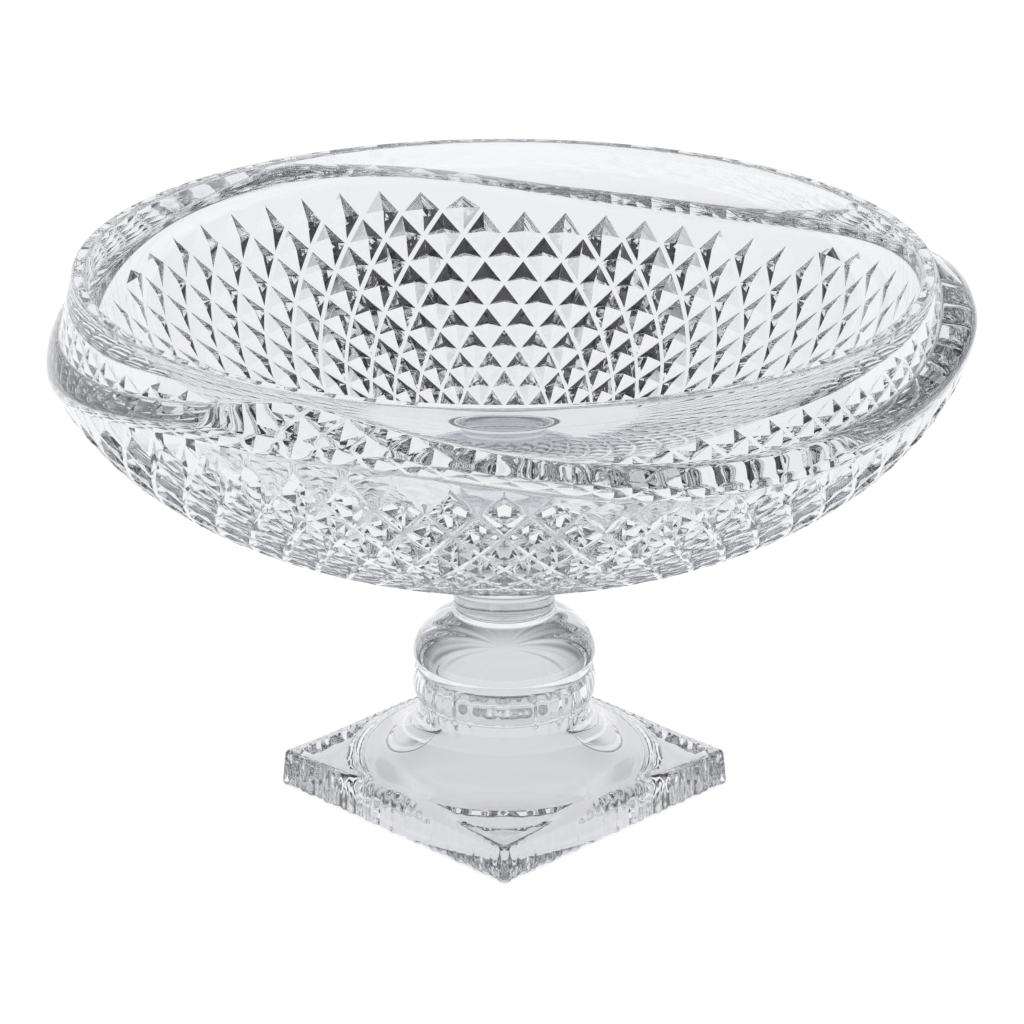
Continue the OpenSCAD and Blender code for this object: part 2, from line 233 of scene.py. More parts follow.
class FRUITBOWL_PG_stage(bpy.types.PropertyGroup):
    """Floor, light and camera"""

    floor: tint("Floor", "Colour of the pale floor", (0.25, 0.25, 0.25, 1.0))
    floor_size: FloatProperty(name="Floor Size", description="Side of the floor", default=8.0, unit="LENGTH")
    floor_gap: length("Floor Gap", "Gap between the foot and the floor", 0.4)
    floor_glow: share("Floor Glow", "Light that the lit floor sends up by itself", 1.0)
    glow: tint("Glow", "Colour of the floor's light", (1.0, 1.0, 1.0, 1.0))
    # Painted shadow: the floor's own light is made darker under the foot, where the foot would shade it
    painted_foot_shadow: tint("Painted Foot Shadow", "Colour of the floor's light where the foot covers it", (0.735, 0.735, 0.745, 1.0))
    backdrop: tint("Backdrop", "Light from the backdrop behind the bowl", (0.84, 0.84, 0.85, 1.0))
    side_wall: tint("Side Walls", "Light from the dark walls beside the bowl", (0.05, 0.05, 0.055, 1.0))
    front_wall: tint("Front Wall", "Light from the dim wall in front of the bowl", (0.12, 0.12, 0.125, 1.0))
    ceiling: tint("Ceiling", "Light from the dark ceiling", (0.045, 0.045, 0.05, 1.0))
    bounces: IntProperty(name="Bounces", description="Times that light passes through glass", default=40, min=1)
    glossy_bounces: IntProperty(
        name="Glossy Bounces", description="Times that glass reflects light", default=24, min=1
    )
    lens: FloatProperty(name="Lens", description="Focal length on a 36 mm sensor", default=139.19, unit="CAMERA")
    distance: FloatProperty(name="Distance", description="Camera's distance in front", default=1.2466, unit="LENGTH")
    height: FloatProperty(name="Height", description="Camera's height above the table", default=0.5988, unit="LENGTH")
    pitch: turn("Pitch", "How far the camera looks down", 21.741)
    yaw: turn("Yaw", "How far the camera looks to the right", 0.12)


class FRUITBOWL_PG_settings(bpy.types.PropertyGroup):
    """All settings of the fruit bowl"""

    body: PointerProperty(type=FRUITBOWL_PG_body)
    ledge: PointerProperty(type=FRUITBOWL_PG_ledge)
    diamonds: PointerProperty(type=FRUITBOWL_PG_diamonds)
    film: PointerProperty(type=FRUITBOWL_PG_film)
    pedestal: PointerProperty(type=FRUITBOWL_PG_pedestal)
    foot: PointerProperty(type=FRUITBOWL_PG_foot)
    crystal: PointerProperty(type=FRUITBOWL_PG_crystal)
    stage: PointerProperty(type=FRUITBOWL_PG_stage)


class Wire:
    """A node's output socket, with Python's operators as Math nodes."""

    def __init__(self, tree, socket):
        self.tree = tree
        self.socket = socket

    def __add__(self, other):
        return self.tree.math("ADD", self, other)

    __radd__ = __add__

    def __mul__(self, other):
        return self.tree.math("MULTIPLY", self, other)

    __rmul__ = __mul__

    def __abs__(self):
        return self.tree.math("ABSOLUTE", self)


class Tree:
    """A node tree that is built one node at a time."""

    def __init__(self, owner):
        owner.use_nodes = True
        self.tree = owner.node_tree
        self.tree.nodes.clear()

    def node(self, kind, settings=None, inputs=None, output=0):
        """Adds a node, sets its settings and then its sockets, and returns one of its outputs."""
        made = self.tree.nodes.new(kind)
        for name, value in (settings or {}).items():
            if name == "stops":
                self.set_stops(made.color_ramp, value)
            else:
                setattr(made, name, value)
        for name, value in (inputs or {}).items():
            if isinstance(value, Wire):
                self.tree.links.new(value.socket, made.inputs[name])
            else:
                made.inputs[name].default_value = value
        return Wire(self, made.outputs[output]) if made.outputs else None

    def set_stops(self, ramp, stops):
        """Gives a colour ramp its stops as (position, colour) pairs."""
        while len(ramp.elements) < len(stops):
            ramp.elements.new(1.0)
        for element, (position, colour) in zip(ramp.elements, stops):
            element.position = position
            element.color = colour

    def math(self, operation, *values):
        """Adds a Math node for numbers and wires."""
        return self.node("ShaderNodeMath", {"operation": operation}, dict(enumerate(values)))


class Shell:
    """Points and faces of one closed piece of glass, built from its underside outwards, up and in."""

    def __init__(self):
        self.points = []
        self.faces = []
        self.finishes = []
        self.finish = 0

    def face(self, *corners):
        """Adds one face in the finish that is set."""
        self.faces.append(corners)
        self.finishes.append(self.finish)

    def add(self, place):
        self.points.append(tuple(place))
        return len(self.points) - 1

    def ring(self, azimuths, radii, heights):
        """Adds one ring of points. Radii and heights are numbers or one value per azimuth."""
        count = len(azimuths)
        radii = radii if hasattr(radii, "__len__") else [radii] * count
        heights = heights if hasattr(heights, "__len__") else [heights] * count
        return [self.add((r * math.cos(a), r * math.sin(a), z)) for a, r, z in zip(azimuths, radii, heights)]

    def band(self, first, second):
        """Joins two neighbouring rings with quads."""
        count = len(first)
        for i in range(count):
            n = (i + 1) % count
            self.face(first[i], first[n], second[n], second[i])

    def bands(self, rings):
        for first, second in zip(rings, rings[1:]):
            self.band(first, second)

    def start_cap(self, height, ring):
        """Closes the underside from a point on the axis."""
        centre = self.add((0.0, 0.0, height))
        for i in range(len(ring)):
            self.face(centre, ring[(i + 1) % len(ring)], ring[i])

    def end_cap(self, ring, height):
        """Closes the upper side at a point on the axis."""
        centre = self.add((0.0, 0.0, height))
        for i in range(len(ring)):
            self.face(ring[i], ring[(i + 1) % len(ring)], centre)

    def build(self, name, sharp_degrees):
        """Makes the object, smooth except along edges sharper than the angle."""
        mesh = bpy.data.meshes.new(name)
        mesh.from_pydata(self.points, [], self.faces)
        if mesh.validate():
            raise RuntimeError(f"{name} has faults in its faces")
        mesh.polygons.foreach_set("material_index", self.finishes)
        mesh.shade_smooth()
        mesh.set_sharp_from_angle(angle=math.radians(sharp_degrees))
        made = bpy.data.objects.new(name, mesh)
        bpy.context.scene.collection.objects.link(made)
        return made


def between(a, b, t):
    """The point a share t of the way from a to b."""
    return tuple(p + (q - p) * t for p, q in zip(a, b))


def quarter_turn(parts):
    """Angles that divide a quarter turn into equal parts, both ends included."""
    return [math.pi / 2 * i / parts for i in range(parts + 1)]


def bend(a, corner, b, count):
    """Points of a soft curve from a to b that turns at a corner, without its end."""
    return [
        between(between(a, corner, i / count), between(corner, b, i / count), i / count) for i in range(count)
    ]


def soften(outline, softness, count=6):
    """An outline with each corner that has a softness rounded over that length on both sides."""
    longest = 0.45  # share of a line that one rounding may take up
    made = [outline[0]]
    for i in range(1, len(outline) - 1):
        here, soft = outline[i], softness.get(i, 0.0)
        if soft <= 0:
            made.append(here)
            continue
        before, after = outline[i - 1], outline[i + 1]
        start = between(here, before, min(longest, soft / math.dist(here, before)))
        end = between(here, after, min(longest, soft / math.dist(here, after)))
        made += bend(start, here, end, count) + [end]
    return made + [outline[-1]]


class BowlForm:
    """The bowl's outline at any azimuth: body ellipse, diamonds' corners, wave ledge and rim."""

    SHOULDER_RUN, SHOULDER_RISE = 1.5, 1.35
    SHOULDER_START = math.radians(24)
    CREASE_RISE_POWER = 0.85
    WALL_PARTS, LEDGE_PARTS, SHOULDER_PARTS, CREASE_PARTS = 6, 5, 10, 7
    BAND_PARTS, RIM_PARTS, INSIDE_PARTS = 8, 6, 72

    def __init__(self, settings):
        self.body, self.ledge, self.diamonds = settings.body, settings.ledge, settings.diamonds
        self.rim_radius = self.body.radius - self.body.rim_setback
        self.widest_height = self.body.rim_height - self.body.widest_drop
        self.half_pitch = math.pi / self.diamonds.around
        self.top_row_z = self.body.rim_height - self.diamonds.top_row_drop
        self.row_angles = [self.angle_at(self.top_row_z)] * 2
        for _ in range(self.diamonds.rows):
            self.row_angles.append(self.angle_below(self.row_angles[-1], self.diamonds.row_pitch))

    def wall(self, angle):
        """Radius and height of the body at an angle of its ellipse, counted from the lowest point."""
        return self.body.radius * math.sin(angle), self.widest_height - self.body.depth * math.cos(angle)

    def angle_at(self, height):
        return math.acos((self.widest_height - height) / self.body.depth)

    def speed(self, angle):
        return math.hypot(self.body.radius * math.cos(angle), self.body.depth * math.sin(angle))

    def angle_below(self, angle, arc):
        return angle - arc / self.speed(angle - arc / self.speed(angle) / 2)

    def wave_offset(self, azimuth, fall):
        turns = (azimuth - self.ledge.low_azimuth) / (math.tau / self.ledge.waves)
        return turns - math.floor(turns + fall)

    def ledge_height(self, azimuth):
        t = self.wave_offset(azimuth, 0.5)
        reach = max(0.0, 1 + t / self.ledge.ledge_fall if t < 0 else 1 - t / self.ledge.ledge_rise)
        wave = (1 - math.cos(math.pi * reach)) / 2
        return self.body.rim_height - self.ledge.ledge_drop - self.ledge.ledge_dip * wave

    def crease_height(self, azimuth):
        fall = self.ledge.crease_fall
        t = self.wave_offset(azimuth, fall)
        reach = 1 + t / fall if t < 0 else max(0.0, 1 - t / (1 - fall)) ** self.CREASE_RISE_POWER
        wave = math.sin(math.pi / 2 * max(0.0, reach))
        return self.body.rim_height - math.hypot(self.ledge.crease_drop, self.ledge.crease_dip * wave)

    def band_radius(self, height):
        return self.rim_radius + self.ledge.band_slope * (self.body.rim_height - self.body.rim_edge - height)

    def tip_limit(self, azimuth):
        room = self.ledge_height(azimuth) - self.diamonds.tip_clearance - self.top_row_z
        return min(self.diamonds.tip_rise, room)

    def tip_pressed(self, azimuth):
        return self.tip_limit(azimuth) >= self.diamonds.tip_least

    def corner_angle(self, row, azimuth):
        """Angle of a lattice corner on the body's ellipse."""
        if row > 1:
            return self.row_angles[row]
        ledge = self.ledge_height(azimuth)
        second = min(self.top_row_z, ledge - self.diamonds.second_row_clearance)
        if row == 1:
            return self.angle_at(second)
        if self.tip_pressed(azimuth):
            return self.angle_at(self.top_row_z + self.tip_limit(azimuth))
        return self.angle_at((second + ledge) / 2)

    def shoulder(self, azimuth, angle):
        """A point of the ledge's shoulder, which rounds from its widest line up to the crease."""
        low, high = self.ledge_height(azimuth), self.crease_height(azimuth)
        outer, inner = self.wall(self.angle_at(low))[0], self.band_radius(high)
        across, up = max(0.0, math.cos(angle)) ** self.SHOULDER_RUN, math.sin(angle) ** self.SHOULDER_RISE
        return inner + (outer - inner) * across, low + (high - low) * up

    def upper_outline(self, azimuth, start_angle):
        """The outside above the diamonds, the rim and the inside, down to the middle of the floor."""
        body, ledge = self.body, self.ledge
        ledge_angle = self.angle_at(self.ledge_height(azimuth))
        room = (ledge_angle - start_angle) * self.speed(ledge_angle)
        soft_angle = ledge_angle - min(ledge.ledge_softness, 0.8 * room) / self.speed(ledge_angle)
        outline = [
            self.wall(start_angle + (soft_angle - start_angle) * i / self.WALL_PARTS)
            for i in range(1, self.WALL_PARTS)
        ]
        shoulder_start = self.shoulder(azimuth, self.SHOULDER_START)
        outline += bend(self.wall(soft_angle), self.wall(ledge_angle), shoulder_start, self.LEDGE_PARTS)
        crease_z = self.crease_height(azimuth)
        crease = self.band_radius(crease_z), crease_z
        width = self.wall(ledge_angle)[0] - crease[0]
        shoulder_end = math.acos(min(0.5, (ledge.crease_softness / width) ** (1 / self.SHOULDER_RUN)))
        step = (shoulder_end - self.SHOULDER_START) / self.SHOULDER_PARTS
        outline += [self.shoulder(azimuth, self.SHOULDER_START + step * i) for i in range(self.SHOULDER_PARTS)]
        rim_low = body.rim_height - body.rim_edge
        band_start = crease_z + min(ledge.crease_softness, 0.5 * (rim_low - crease_z))
        band_foot = self.band_radius(band_start), band_start
        outline += bend(self.shoulder(azimuth, shoulder_end), crease, band_foot, self.CREASE_PARTS)
        for i in range(self.BAND_PARTS):
            z = band_start + (rim_low - band_start) * i / self.BAND_PARTS
            outline.append((self.band_radius(z), z))
        outline += self.rim_outline()
        inside = self.rim_radius - body.rim_width
        for i in range(1, self.INSIDE_PARTS):
            angle = math.pi / 2 * (1 - i / self.INSIDE_PARTS)
            depth = (body.inside_depth - body.rim_edge) * math.cos(angle)
            outline.append((inside * math.sin(angle), rim_low - depth))
        return outline

    def rim_outline(self):
        """The flat rim and its two rounded edges."""
        edge, top = self.body.rim_edge, self.body.rim_height
        inside = self.rim_radius - self.body.rim_width
        arc = quarter_turn(self.RIM_PARTS)
        outer = [(self.rim_radius - edge * (1 - math.cos(a)), top - edge * (1 - math.sin(a))) for a in arc]
        inner = [(inside + edge * (1 - math.sin(a)), top - edge * (1 - math.cos(a))) for a in arc]
        return outer + [between(outer[-1], inner[0], 0.5)] + inner


class DiamondLattice:
    """The pressed diamonds with the plain strips between them."""

    PARTS = 4

    def __init__(self, form, shell):
        self.form, self.shell = form, shell
        self.corners, self.edges = {}, {}

    def azimuth(self, row, column):
        return self.form.half_pitch * (2 * column + row % 2)

    def corner(self, row, column):
        key = row, column % self.form.diamonds.around
        if key not in self.corners:
            azimuth = self.azimuth(*key)
            self.corners[key] = self.on_wall(self.form.corner_angle(row, azimuth), azimuth)
        return self.corners[key]

    def place(self, angle, azimuth, depth=0.0):
        """A point on the body, or set in from it along its normal."""
        r, z = self.form.wall(angle)
        slope = math.hypot(self.form.body.depth * math.sin(angle), self.form.body.radius * math.cos(angle))
        r -= depth * self.form.body.depth * math.sin(angle) / slope
        z += depth * self.form.body.radius * math.cos(angle) / slope
        return r * math.cos(azimuth), r * math.sin(azimuth), z

    def on_wall(self, angle, azimuth):
        return self.shell.add(self.place(angle, azimuth))

    def edge(self, row, column, side):
        """Points of the lattice line from a corner down to the next row, to the right or the left."""
        column %= self.form.diamonds.around
        key = row, column, side
        if key not in self.edges:
            high = self.azimuth(row, column)
            low = high + side * self.form.half_pitch
            lower_column = column + (row % 2 if side > 0 else row % 2 - 1)
            start, end = self.form.corner_angle(row, high), self.form.corner_angle(row + 1, low)
            inner = [
                self.on_wall(start + (end - start) * i / self.PARTS, high + (low - high) * i / self.PARTS)
                for i in range(1, self.PARTS)
            ]
            self.edges[key] = [self.corner(row, column), *inner, self.corner(row + 1, lower_column)]
        return self.edges[key]

    def diamond(self, row, column):
        """One diamond: its share of the strips and its four sunken facets."""
        form = self.form
        shift = row % 2
        middle = self.azimuth(row, column) + form.half_pitch
        pressed = row > 1 or form.tip_pressed(middle)
        angle = form.row_angles[row] if pressed else (form.row_angles[row] + form.row_angles[row + 1]) / 2
        size = math.sin(angle) / math.sin(form.row_angles[1])
        half_width = form.wall(angle)[0] * form.half_pitch
        across = half_width * form.diamonds.row_pitch / math.hypot(half_width, form.diamonds.row_pitch)
        kept = 1 - form.diamonds.strip_width * size / 2 / across
        deepest = self.shell.add(self.place(angle, middle, form.diamonds.depth * size if pressed else 0.0))
        top_angle, bottom_angle = form.corner_angle(row - 1, middle), form.row_angles[row + 1]
        left_angle = form.corner_angle(row, middle - form.half_pitch)
        right_angle = form.corner_angle(row, middle + form.half_pitch)
        reach = form.half_pitch * kept
        inner = [
            self.place(angle + (top_angle - angle) * kept, middle),
            self.place(angle + (right_angle - angle) * kept, middle + reach),
            self.place(angle + (bottom_angle - angle) * kept, middle),
            self.place(angle + (left_angle - angle) * kept, middle - reach),
        ]
        corners = [self.shell.add(p) for p in inner]
        outer = [
            self.edge(row - 1, column + shift, 1),
            self.edge(row, column + 1, -1),
            self.edge(row, column, 1)[::-1],
            self.edge(row - 1, column + shift, -1)[::-1],
        ]
        for i, line in enumerate(outer):
            n = (i + 1) % 4
            rim = [self.shell.add(between(inner[i], inner[n], s / self.PARTS)) for s in range(1, self.PARTS)]
            rim = [corners[i], *rim, corners[n]]
            for s in range(self.PARTS):
                self.shell.face(line[s], rim[s], rim[s + 1], line[s + 1])
                self.shell.face(rim[s], deepest, rim[s + 1])

    def boundary(self, row):
        """The zigzag of lattice lines below a row's corners, all the way round."""
        made = []
        for column in range(self.form.diamonds.around):
            down = self.edge(row, column, 1)
            up = self.edge(row, column + 1, -1)[::-1]
            made += down[:-1] + up[:-1]
        start = self.azimuth(row, 0)
        return made, [start + math.tau * i / len(made) for i in range(len(made))]


def make_bowl(settings):
    """The bowl's shell, from the flat of its boss round to the middle of its inside."""
    form, shell = BowlForm(settings), Shell()
    body, diamonds = settings.body, settings.diamonds
    lattice = DiamondLattice(form, shell)
    for row in range(1, diamonds.rows + 1):
        for column in range(diamonds.around):
            lattice.diamond(row, column)
    lower, lower_azimuths = lattice.boundary(diamonds.rows)
    upper, upper_azimuths = lattice.boundary(0)

    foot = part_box("bowl")[0].z
    root_angle = math.asin(body.boss_root_radius / body.radius)
    root_z = form.wall(root_angle)[1]
    narrow = body.boss_root_radius - body.boss_radius
    outline = [(body.boss_radius * t, foot) for t in (0.3, 0.6, 0.8, 0.9, 0.95)]
    outline.append((body.boss_radius - body.boss_edge, foot))
    flat_rings = len(outline)
    outline.append((body.boss_radius, foot + body.boss_edge))
    for a in quarter_turn(10):
        outline.append(
            (body.boss_root_radius - narrow * math.cos(a), root_z - body.boss_flare * (1 - math.sin(a)))
        )
    rings = [shell.ring(lower_azimuths, r, z) for r, z in outline]
    ends = [form.angle_at(shell.points[i][2]) for i in lower]
    root_parts = 8
    for step in range(1, root_parts):
        places = [form.wall(root_angle + (end - root_angle) * step / root_parts) for end in ends]
        rings.append(shell.ring(lower_azimuths, [p[0] for p in places], [p[1] for p in places]))
    shell.finish = 1
    shell.start_cap(foot, rings[0])
    shell.bands(rings[:flat_rings])
    shell.finish = 0
    shell.bands(rings[flat_rings - 1 :] + [lower])

    outlines = [
        form.upper_outline(azimuth, form.angle_at(shell.points[i][2])) for azimuth, i in zip(upper_azimuths, upper)
    ]
    rings = [
        shell.ring(upper_azimuths, [p[0] for p in level], [p[1] for p in level]) for level in zip(*outlines)
    ]
    shell.bands([upper] + rings)
    shell.end_cap(rings[-1], body.rim_height - body.inside_depth)
    return shell.build("crystal_bowl", sharp_degrees=24)


def make_film(settings):
    """The adhesive film, with an edge that draws in towards both faces."""
    film, shell = settings.film, Shell()
    low, high = (corner.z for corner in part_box("bond_film"))
    low, high = low + film.clearance, high - film.clearance
    columns, edge_parts = 192, 10
    azimuths = [math.tau * i / columns for i in range(columns)]
    faces = [0.35, 0.7, 0.9]
    middle, half = (low + high) / 2, (high - low) / 2
    outline = [(film.radius * t, low) for t in faces]
    for i in range(edge_parts + 1):
        a = math.pi * (i / edge_parts - 0.5)
        outline.append((film.radius - film.meniscus * (1 - math.cos(a)), middle + half * math.sin(a)))
    outline += [(film.radius * t, high) for t in reversed(faces)]
    rings = [shell.ring(azimuths, r, z) for r, z in outline]
    last = len(faces) - 1
    shell.bands(rings[last:-last])
    shell.finish = 1
    shell.start_cap(low, rings[0])
    shell.bands(rings[: last + 1])
    shell.bands(rings[-last - 1 :])
    shell.end_cap(rings[-1], high)
    return shell.build("bond_ring", sharp_degrees=40)


def run_out(radius, throat, bell, high, low, softness):
    """Height of a bell's quarter curve that falls from its throat and runs out softly near a radius."""

    def reach(r):
        return (bell - r + math.hypot(bell - r, 2 * softness)) / 2

    across = min(1.0, reach(radius) / reach(throat))
    return high - (high - low) * math.sqrt(1 - across * across)


class FootForm:
    """The square foot as rings whose points run along its sides and round its corners."""

    SIDE_PARTS, CORNER_PARTS = 120, 8

    def __init__(self, settings):
        self.foot, self.stem = settings.foot, settings.pedestal
        self.half = self.foot.side / 2

    def ring(self, inset):
        """Points of the foot's outline set in by a distance, with the share along the side of each."""
        half = self.half - inset
        corner = max(self.foot.corner_radius - inset, self.foot.corner_least)
        reach = half - corner
        made = []
        for quarter in range(4):
            turned = self.foot.azimuth + quarter * math.pi / 2
            for i in range(self.SIDE_PARTS):
                along = i / self.SIDE_PARTS
                made.append(self.turn(half, reach * (2 * along - 1), turned) + (along, 1.0, 0.0, turned))
            for i in range(self.CORNER_PARTS):
                a = math.pi / 2 * i / self.CORNER_PARTS
                x, y = reach + corner * math.cos(a), reach + corner * math.sin(a)
                made.append(self.turn(x, y, turned) + (0.0, math.cos(a), math.sin(a), turned))
        return made

    @staticmethod
    def turn(x, y, azimuth):
        return x * math.cos(azimuth) - y * math.sin(azimuth), x * math.sin(azimuth) + y * math.cos(azimuth)

    def bell_height(self, radius):
        """Height of the bell, which runs out into the flat top of the foot."""
        stem, top = self.stem, self.foot.thickness
        edge = top + stem.bell_step
        height = run_out(
            radius, stem.waist_radius, stem.bell_radius, stem.waist_height, edge, stem.bell_softness
        )
        fade = min(1.0, max(0.0, (radius - stem.bell_radius + stem.step_reach) / stem.step_fade))
        return height - stem.bell_step * fade * fade * (3 - 2 * fade)

    def edge_rounding(self, along):
        middle = math.sin(math.pi * along) ** 2
        return self.foot.edge_at_corner + (self.foot.edge_at_middle - self.foot.edge_at_corner) * middle

    def flute(self, along, flute_share, streak_share):
        """How far the flutes and fine streaks cut into the side."""
        flute = self.foot.flute_depth * flute_share * (1 - math.cos(math.tau * self.foot.flutes * along)) / 2
        streak = self.foot.streak_depth * streak_share * (1 - math.cos(math.tau * self.foot.streaks * along)) / 2
        return flute + streak


def stem_outline(settings):
    """The turned stem from its bonded face down to the bell's waist."""
    stem = settings.pedestal
    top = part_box("pedestal")[1].z
    dome_parts, bead_parts = 24, 20
    bead_top, bead_sweep = math.radians(60), math.radians(150)
    end = math.acos(stem.neck_radius / stem.dome_radius)
    dome = []
    for i in range(dome_parts + 1):
        a = end * (1 - i / dome_parts)
        dome.append((stem.dome_radius * math.cos(a), stem.dome_edge_height + stem.dome_rise * math.sin(a)))
    swell = stem.bead_radius - stem.waist_radius
    bead = []
    for i in range(bead_parts + 1):
        a = bead_top - bead_sweep * i / bead_parts
        rise = stem.bead_height - stem.waist_height if a < 0 else stem.groove_height - stem.bead_height
        bead.append((stem.waist_radius + swell * math.cos(a), stem.bead_height + rise * math.sin(a)))
    outline = [(stem.neck_radius * t, top) for t in (0.3, 0.6, 0.8, 0.9)]
    neck = len(outline)
    outline += [(stem.neck_radius, top), (stem.neck_radius, top - stem.neck_height)]
    first_dome = len(outline)
    outline += dome
    groove = len(outline)
    outline += [(stem.groove_radius, stem.groove_height), *bead]
    return soften(
        outline,
        {
            neck: stem.neck_softness,
            first_dome: stem.dome_top_softness,
            groove - 1: stem.dome_edge_softness,
            groove: stem.groove_softness,
        },
    )


def hollow_outline(settings):
    """The smooth hollow under the foot: crown, straight throat, bell and rounded edge, from the axis out."""
    foot = settings.foot
    parts = quarter_turn(16)
    crown_foot = foot.throat_height + foot.hollow_rise
    flare = foot.hollow_bell_radius - foot.throat_radius
    lip = foot.hollow_radius - foot.hollow_bell_radius
    crown = [(foot.throat_radius * math.sin(a), crown_foot + foot.hollow_crown * math.cos(a)) for a in parts]
    throat = [(foot.throat_radius, crown_foot - foot.hollow_rise * i / 8) for i in range(1, 9)]
    bell = []
    for a in parts[1:]:
        r = foot.throat_radius + flare * (1 - math.cos(a))
        z = run_out(
            r, foot.throat_radius, foot.hollow_bell_radius, foot.throat_height, foot.hollow_ceiling, 0.6 * lip
        )
        bell.append((r, z))
    ceiling = bell[-1][1]
    edge = [(foot.hollow_bell_radius + lip * math.sin(a), ceiling * math.cos(a)) for a in parts[1:]]
    return crown + throat + bell + edge


def make_pedestal(settings):
    """The pedestal's shell, from its underside round the square foot and up the stem."""
    foot, stem, form, shell = settings.foot, settings.pedestal, FootForm(settings), Shell()
    columns = form.ring(0.0)
    azimuths = [math.atan2(p[1], p[0]) for p in form.ring(foot.panel_inset)]

    def square(insets, heights, flute=0.0, streak=0.0):
        """A ring of the square foot, with one inset and height per column and its share of the flutes."""
        outlines = {inset: form.ring(inset) for inset in set(insets)}
        made = []
        for i, (inset, height) in enumerate(zip(insets, heights)):
            x, y, along, nx, ny, turned = outlines[inset][i]
            cut = form.flute(along, flute, streak)
            dx, dy = form.turn(nx, ny, turned)
            made.append(shell.add((x - cut * dx, y - cut * dy, height)))
        return made

    count = len(columns)
    rounding = [form.edge_rounding(along) for _, _, along, *_ in columns]
    tops = [form.bell_height(math.hypot(c[0], c[1]) - r) for c, r in zip(columns, rounding)]

    hollow = hollow_outline(settings)
    # A second, closer set of lines keeps the draw lines from looking too even.
    drawn = [math.cos(foot.draw_lines * a) + 0.7 * math.cos(1.6 * foot.draw_lines * a + 1) for a in azimuths]
    rings = []
    for r, z in hollow[1:]:
        # The lines start above the throat and fade towards the middle of the crown.
        above = min(1.0, max(0.0, (z - foot.throat_height) / foot.hollow_rise * 2))
        depth = foot.draw_depth * above * min(1.0, 1.4 * r / foot.throat_radius)
        rings.append(shell.ring(azimuths, [r + depth * line for line in drawn], z))
    shell.start_cap(hollow[0][1], rings[0])
    lower = foot.lower_edge
    for a in quarter_turn(6):
        rings.append(square([lower * (1 - math.sin(a))] * count, [lower * (1 - math.cos(a))] * count, 1.0, 1.0))
    side_top = [top - r for top, r in zip(tops, rounding)]
    side_parts, edge_parts = 7, 8
    for i in range(1, side_parts):
        t = i / side_parts
        rings.append(square([foot.draft * t] * count, [lower + (z - lower) * t for z in side_top], 1 - t * t, 1.0))
    for i, a in enumerate(quarter_turn(edge_parts)):
        rings.append(
            square(
                [foot.draft + (r - foot.draft) * (1 - math.cos(a)) for r in rounding],
                [z + r * math.sin(a) for z, r in zip(side_top, rounding)],
                0.0,
                1 - i / edge_parts,
            )
        )
    inner_edge = form.ring(foot.panel_inset)
    outer_radii = [math.hypot(p[0], p[1]) for p in inner_edge]
    for t in (0.34, 0.67, 1.0):
        insets = [r + (foot.panel_inset - r) * t for r in rounding]
        heights = [top + (form.bell_height(r) - top) * t for top, r in zip(tops, outer_radii)]
        rings.append(square(insets, heights))

    inner_radii = [min(foot.panel_radius, r - foot.panel_margin) for r in outer_radii]
    for t in (0.12, 0.24, 0.36, 0.5, 0.64, 0.76, 0.88, 1.0):
        radii, heights = [], []
        for inner, outer in zip(inner_radii, outer_radii):
            width = outer - inner - foot.panel_margin
            r = outer + (inner - outer) * t
            wall = min(foot.panel_wall, max(width, 0.0) / 2)
            sunk = foot.panel_depth * wall / foot.panel_wall
            radii.append(r)
            near = min(outer - r, r - inner)
            heights.append(form.bell_height(r) - sunk * min(1.0, max(0.0, near / max(wall, 1e-6))))
        rings.append(shell.ring(azimuths, radii, heights))
    for t in (0.2, 0.4, 0.6, 0.8, 1.0):
        radii = [r + (stem.bell_start - r) * t for r in inner_radii]
        rings.append(shell.ring(azimuths, radii, [form.bell_height(r) for r in radii]))
    bell_parts, flare = 25, stem.bell_radius - stem.waist_radius
    first = math.asin((stem.bell_radius - stem.bell_start) / flare)
    for i in range(1, bell_parts):
        a = first + (math.pi / 2 - first) * i / bell_parts
        r = stem.bell_radius - flare * math.sin(a)
        rings.append(shell.ring(azimuths, r, form.bell_height(r)))
    outline = stem_outline(settings)
    for r, z in reversed(outline):
        rings.append(shell.ring(azimuths, r, z))
    # The last four rings lie in the bonded face.
    shell.bands(rings[:-3])
    shell.finish = 1
    shell.bands(rings[-4:])
    shell.end_cap(rings[-1], outline[0][1])
    return shell.build("crystal_pedestal", sharp_degrees=28)


def start_material(name):
    """A new material, its node tree and the place on the object."""
    material = bpy.data.materials.new(name)
    tree = Tree(material)
    return material, tree, tree.node("ShaderNodeTexCoord", output="Object")


def crystal_material(settings):
    """Clear pressed crystal: faint grey flow lines and a soft ripple left by the mould."""
    look = settings.crystal
    material, tree, place = start_material("clear_crystal")
    flow = tree.node("ShaderNodeTexNoise", {}, {"Vector": place, "Scale": 14.0, "Detail": 3.0, "Distortion": 0.6})
    colour = tree.node(
        "ShaderNodeMix",
        {"data_type": "RGBA"},
        {"Factor": flow, "A": tuple(look.clear), "B": tuple(look.smoky)},
        output="Result",
    )
    swell = tree.node("ShaderNodeTexNoise", {}, {"Vector": place, "Scale": 46.0, "Detail": 1.0})
    ripple = tree.node(
        "ShaderNodeBump", {}, {"Height": swell * look.ripple, "Strength": 0.5, "Distance": 1.0}
    )
    glass = tree.node(
        "ShaderNodeBsdfPrincipled",
        {},
        {
            "Base Color": colour,
            "Roughness": 0.0,
            "IOR": look.refraction,
            "Transmission Weight": 1.0,
            "Normal": ripple,
        },
    )
    depth = tree.node(
        "ShaderNodeVolumeAbsorption", {}, {"Color": tuple(look.depth_tint), "Density": look.depth_density}
    )
    tree.node("ShaderNodeOutputMaterial", {}, {"Surface": glass, "Volume": depth})
    return material


